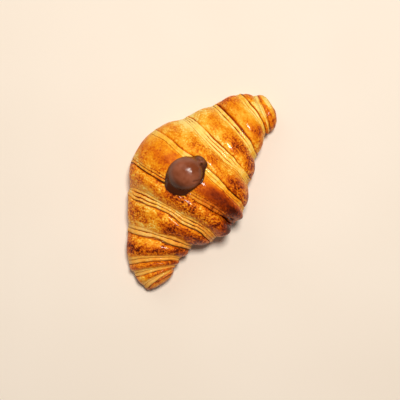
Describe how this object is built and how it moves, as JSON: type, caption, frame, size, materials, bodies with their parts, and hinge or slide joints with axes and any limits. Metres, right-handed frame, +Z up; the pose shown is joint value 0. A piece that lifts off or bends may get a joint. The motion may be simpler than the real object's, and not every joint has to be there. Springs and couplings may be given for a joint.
{
  "type": "chocolate hazelnut croissant",
  "caption": "Baked crescent pastry with stepped laminated turns, a glazed crust and a dome of chocolate hazelnut spread piped on its crest.",
  "frame": {"origin": "bottom centre of the bounding box, on the surface that the croissant rests on", "axes": "+X along the croissant from its left horn to its right horn, +Y towards its rounded outer side, away from which both horns bend, +Z up"},
  "size_m": [0.166, 0.0906, 0.0637],
  "materials": {
    "crust": "egg-washed golden brown crust, semi-gloss, blistered, with pale laminated cut edges",
    "chocolate": "smooth chocolate hazelnut spread, satin with a soft sheen"
  },
  "bodies": {
    "root": {"baked_dough": "crust", "chocolate_dollop": "chocolate"}
  },
  "joints": []
}
